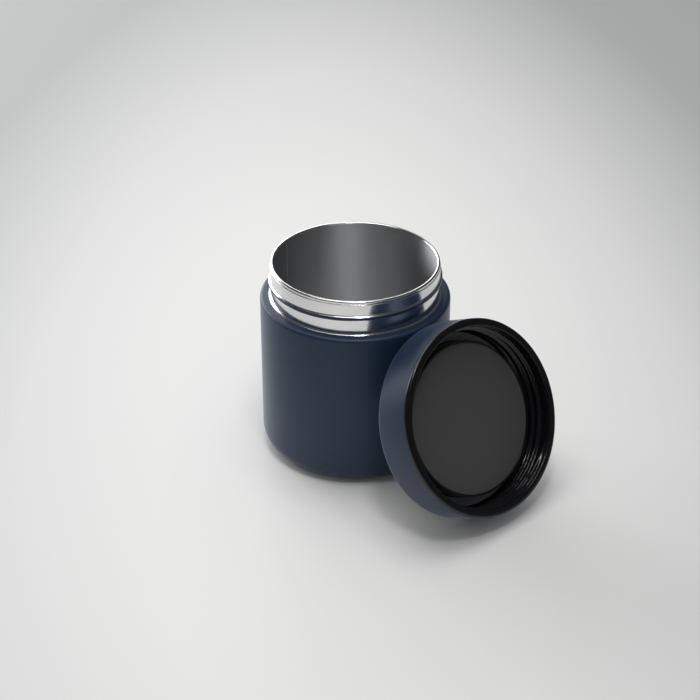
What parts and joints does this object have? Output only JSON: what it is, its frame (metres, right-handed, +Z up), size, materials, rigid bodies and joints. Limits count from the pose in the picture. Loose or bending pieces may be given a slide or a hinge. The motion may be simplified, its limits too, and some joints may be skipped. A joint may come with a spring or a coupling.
{
  "type": "insulated food jar",
  "caption": "Short wide-mouth vacuum-insulated food jar in dark navy with a bright steel neck; its round screw lid is off and leans on the side, inside face out.",
  "frame": {"origin": "on the jar's axis, in the plane of the foot ring it stands on", "axes": "+Z up along the jar's axis, out of the mouth; +X from the jar towards the leaning lid; the XZ plane is the plane of symmetry"},
  "size_m": [0.1493, 0.091, 0.0974],
  "materials": {
    "navy_powder_coat": "fine-textured satin powder coat",
    "brushed_liner": "satin stainless steel",
    "bright_foil": "bright foil",
    "plain_steel": "pressed sheet",
    "seal_glass": "dark solder glass",
    "getter_powder": "pressed powder",
    "black_plastic": "satin moulded",
    "charcoal_plastic": "fine matt texture",
    "white_foam": "beaded foam",
    "grey_silicone": "matt silicone"
  },
  "bodies": {
    "jar": {"outer_shell": "navy_powder_coat", "liner_wall": "brushed_liner", "liner_base": "brushed_liner", "foil_wrap": "bright_foil", "vacuum_base": "plain_steel", "port_seal": "seal_glass", "base_cover": "plain_steel", "getter_dish": "plain_steel", "getter": "getter_powder"},
    "lid": {"lid_cover": "navy_powder_coat", "lid_cap": "black_plastic", "plug_plate": "charcoal_plastic", "foam_disc": "white_foam"},
    "seal": {"seal_ring": "grey_silicone"}
  },
  "joints": [
    {"name": "lid_lift", "type": "slide", "parent": "jar", "child": "lid", "axis": [0, 0, 1], "range_m": [0, 0.12]},
    {"name": "seal_pull", "type": "slide", "parent": "lid", "child": "seal", "axis": [0.8918, 0, 0.4524], "range_m": [0, 0.03]}
  ]
}
